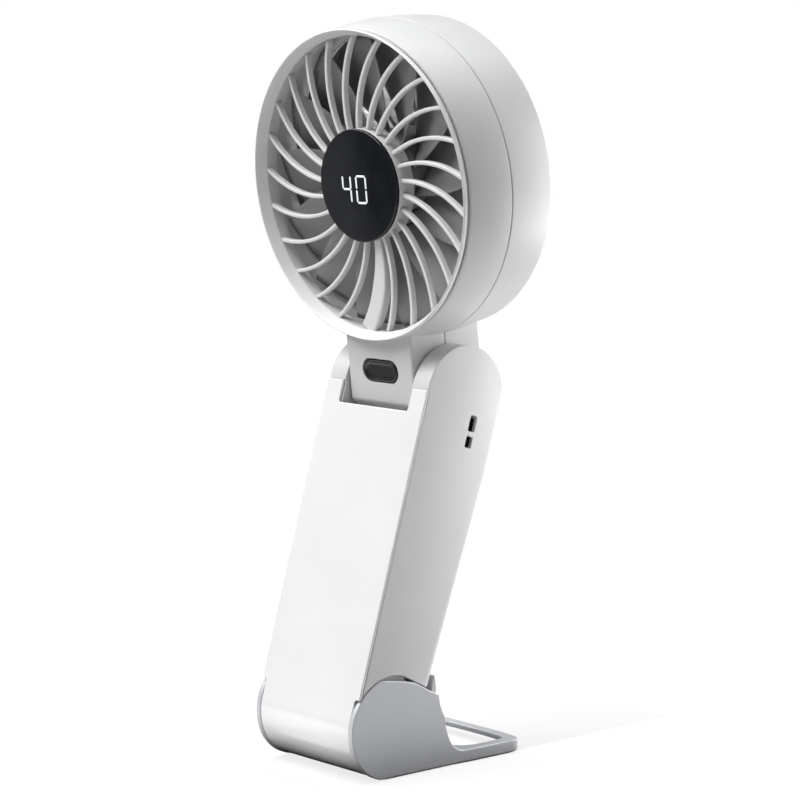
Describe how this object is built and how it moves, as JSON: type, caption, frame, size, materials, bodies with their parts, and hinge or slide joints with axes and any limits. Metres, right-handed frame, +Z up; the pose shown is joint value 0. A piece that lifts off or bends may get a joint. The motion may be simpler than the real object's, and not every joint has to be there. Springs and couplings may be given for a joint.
{
  "type": "handheld electric fan",
  "caption": "Folding handheld fan: round head on a hinge over a flat handle, with a fold-out hanging loop that also stands it up.",
  "frame": {"origin": "centre of the bounding box's bottom face, on the surface that the fan stands on", "axes": "+Z up, the front grille faces -Y, +X to the fan's left as it blows"},
  "size_m": [0.0924, 0.0684, 0.2161],
  "materials": {
    "shell_white": "fine satin moulded white",
    "plate_white": "gloss white",
    "grille_white": "satin white",
    "impeller_grey": "satin grey",
    "lens_black": "tinted gloss",
    "button_black": "satin black",
    "rubber_black": "matt",
    "steel": "turned and plated",
    "brass": "turned",
    "copper": "enamelled winding",
    "circuit_board": "solder mask",
    "foil": "laminated pouch",
    "frame_grey": "moulded",
    "moulded_black": "moulded"
  },
  "bodies": {
    "base": {"base_bracket": "shell_white", "base_pad_front": "rubber_black", "base_pad_left": "rubber_black", "base_pad_right": "rubber_black", "base_pivot_pin": "steel", "pivot_washer_left": "steel", "pivot_washer_right": "steel"},
    "handle": {"handle_shell": "shell_white", "front_plate": "plate_white", "battery_cell": "foil", "battery_guard_board": "circuit_board", "battery_tray": "frame_grey", "control_board": "circuit_board", "charge_board": "circuit_board", "usb_receptacle": "steel", "tray_screw_1": "steel", "tray_screw_2": "steel", "tray_screw_3": "steel", "tray_screw_4": "steel", "hinge_pin_left": "steel", "hinge_pin_right": "steel", "hinge_washer_left": "brass", "hinge_washer_right": "brass"},
    "head": {"front_housing": "shell_white", "rear_housing": "shell_white", "front_grille": "grille_white", "rear_grille": "grille_white", "display_lens": "lens_black", "display_board": "circuit_board", "neck_screw_1": "steel", "neck_screw_2": "steel", "neck_screw_3": "steel", "hinge_bush_left": "brass", "hinge_bush_right": "brass", "button_switch": "moulded_black", "button_board": "circuit_board", "motor_mount": "frame_grey", "motor_stator": "copper", "motor_board": "circuit_board", "motor_bearing_front": "steel", "motor_bearing_rear": "steel", "motor_screw_1": "steel", "motor_screw_2": "steel", "motor_screw_3": "steel"},
    "rotor": {"impeller": "impeller_grey", "rotor_can": "steel", "rotor_magnet": "moulded_black", "motor_shaft": "steel"},
    "button": {"power_button": "button_black"}
  },
  "joints": [
    {"name": "handle_fold", "type": "hinge", "parent": "base", "child": "handle", "pos_m": [0, -0.01945, 0.0148], "axis": [1, 0, 0], "range_deg": [0, 106]},
    {"name": "head_tilt", "type": "hinge", "parent": "handle", "child": "head", "pos_m": [0, 0.00785, 0.10746], "axis": [1, 0, 0], "range_deg": [-113, 35]},
    {"name": "impeller_spin", "type": "hinge", "parent": "head", "child": "rotor", "pos_m": [0, -0.01642, 0.16703], "axis": [0, -0.9917, -0.1288], "continuous": true},
    {"name": "button_press", "type": "slide", "parent": "head", "child": "button", "axis": [0, 0.9917, 0.1288], "range_m": [0, 0.0008], "stiffness_N_per_m": 400, "springref_m": -0.0005}
  ]
}
